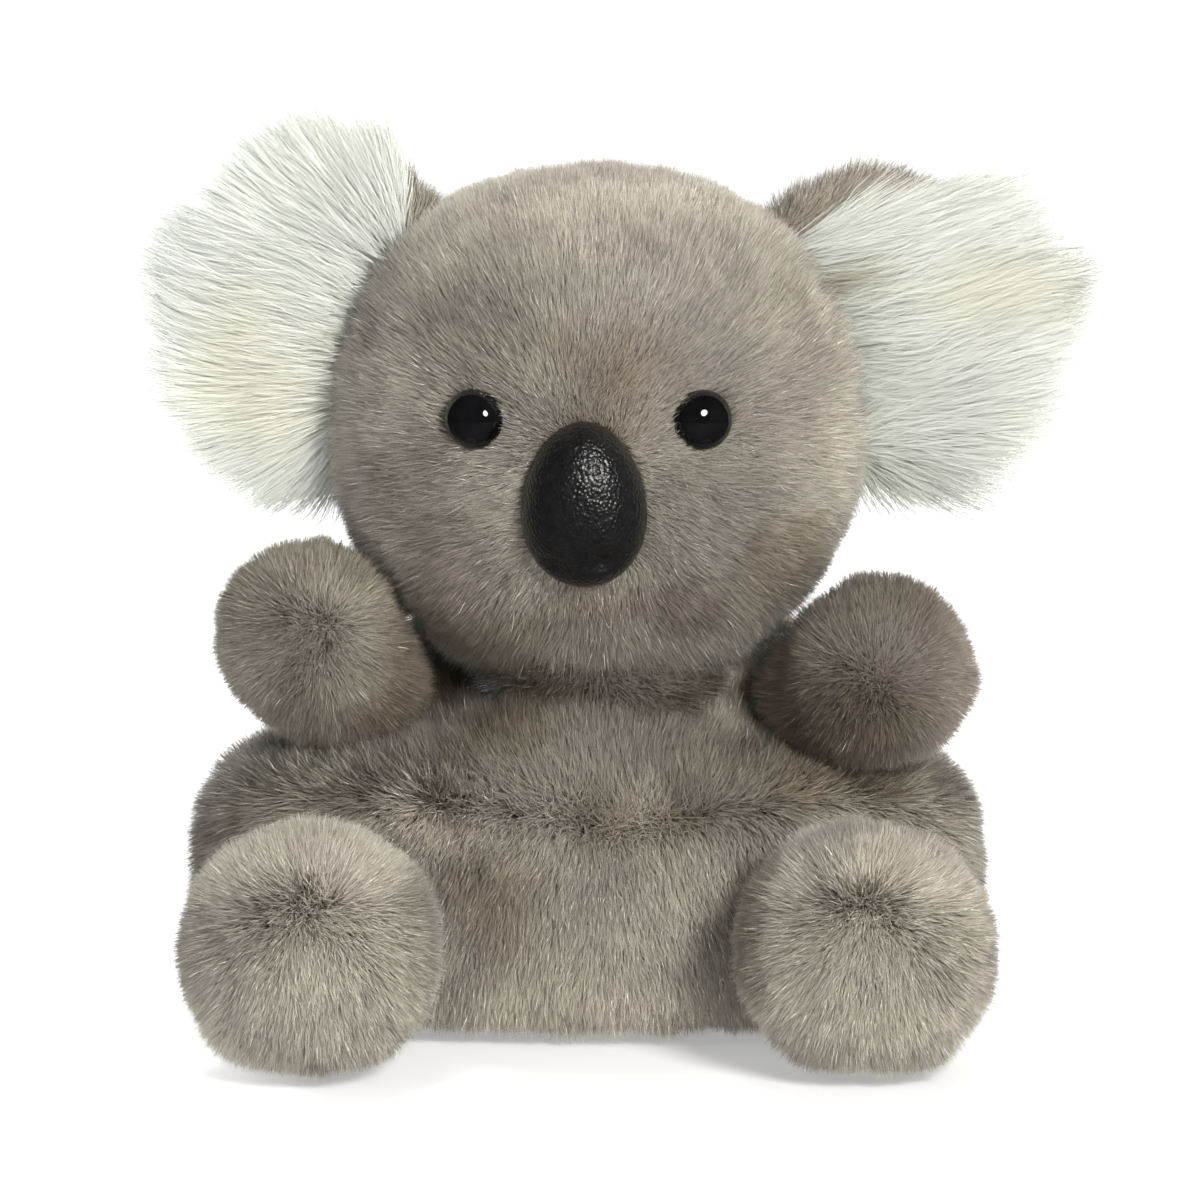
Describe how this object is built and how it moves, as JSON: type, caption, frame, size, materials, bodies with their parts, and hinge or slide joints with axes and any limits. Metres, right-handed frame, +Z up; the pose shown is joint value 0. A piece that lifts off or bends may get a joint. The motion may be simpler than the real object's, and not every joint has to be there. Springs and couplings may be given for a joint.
{
  "type": "plush koala",
  "caption": "Palm-sized sitting plush koala in grey pile with white ears, button eyes and nose, stuffed and weighted with pellets.",
  "frame": {"origin": "middle of the flat face of the bottom panel that the koala sits on", "axes": "+Z up, the koala faces -Y, and +X is on the right as seen from the front"},
  "size_m": [0.117, 0.0843, 0.1157],
  "materials": {
    "grey_plush": "matte",
    "white_plush": "matte",
    "stuffing": "matte",
    "bag_cloth": "matte",
    "thread": "matte",
    "pellets": "satin",
    "washer_plastic": "satin",
    "eye_black": "gloss",
    "nose_black": "satin"
  },
  "bodies": {
    "torso": {"chest_panel": "grey_plush", "belly_panel": "grey_plush", "back_panel": "grey_plush", "base_panel": "grey_plush", "pellet_bag": "bag_cloth", "pellets": "pellets", "body_stuffing": "stuffing"},
    "neck": {"neck_stuffing": "stuffing", "neck_seam_thread": "thread"},
    "head": {"face_panel_left": "grey_plush", "face_panel_right": "grey_plush", "head_back_panel": "grey_plush", "head_stuffing": "stuffing", "nose": "nose_black", "nose_washer": "washer_plastic", "eye_left": "eye_black", "eye_right": "eye_black", "eye_left_washer": "washer_plastic", "eye_right_washer": "washer_plastic"},
    "ear_left": {"ear_front_left": "white_plush", "ear_back_left": "grey_plush"},
    "ear_right": {"ear_front_right": "white_plush", "ear_back_right": "grey_plush"},
    "arm_left": {"arm_front_panel_left": "grey_plush", "arm_back_panel_left": "grey_plush", "arm_stuffing_left": "stuffing"},
    "arm_right": {"arm_front_panel_right": "grey_plush", "arm_back_panel_right": "grey_plush", "arm_stuffing_right": "stuffing"},
    "leg_left": {"leg_top_panel_left": "grey_plush", "leg_sole_panel_left": "grey_plush", "leg_stuffing_left": "stuffing"},
    "leg_right": {"leg_top_panel_right": "grey_plush", "leg_sole_panel_right": "grey_plush", "leg_stuffing_right": "stuffing"}
  },
  "joints": [
    {"name": "head_turn", "type": "hinge", "parent": "torso", "child": "neck", "pos_m": [0.0012, 0.003, 0.0439], "axis": [0, 0, 1], "range_deg": [-20, 20], "stiffness_Nm_per_rad": 0.08},
    {"name": "head_nod", "type": "hinge", "parent": "neck", "child": "head", "pos_m": [0.0012, 0.003, 0.0439], "axis": [1, 0, 0], "range_deg": [-8, 8], "stiffness_Nm_per_rad": 0.12},
    {"name": "ear_left_fold", "type": "hinge", "parent": "head", "child": "ear_left", "pos_m": [-0.0314, 0.007, 0.0898], "axis": [0.342, 0, 0.9397], "range_deg": [-20, 20], "stiffness_Nm_per_rad": 0.01},
    {"name": "ear_right_fold", "type": "hinge", "parent": "head", "child": "ear_right", "pos_m": [0.0345, 0.007, 0.0868], "axis": [0.342, 0, -0.9397], "range_deg": [-20, 20], "stiffness_Nm_per_rad": 0.01},
    {"name": "arm_left_swing", "type": "hinge", "parent": "torso", "child": "arm_left", "pos_m": [-0.026, 0.004, 0.037], "axis": [0, 0, 1], "range_deg": [-30, 10], "stiffness_Nm_per_rad": 0.02},
    {"name": "arm_right_swing", "type": "hinge", "parent": "torso", "child": "arm_right", "pos_m": [0.026, 0.004, 0.037], "axis": [0, 0, -1], "range_deg": [-30, 10], "stiffness_Nm_per_rad": 0.02},
    {"name": "leg_left_lift", "type": "hinge", "parent": "torso", "child": "leg_left", "pos_m": [-0.031, -0.0185, 0.0165], "axis": [-1, 0, 0], "range_deg": [-5, 25], "stiffness_Nm_per_rad": 0.03},
    {"name": "leg_right_lift", "type": "hinge", "parent": "torso", "child": "leg_right", "pos_m": [0.031, -0.0185, 0.0165], "axis": [-1, 0, 0], "range_deg": [-5, 25], "stiffness_Nm_per_rad": 0.03}
  ]
}
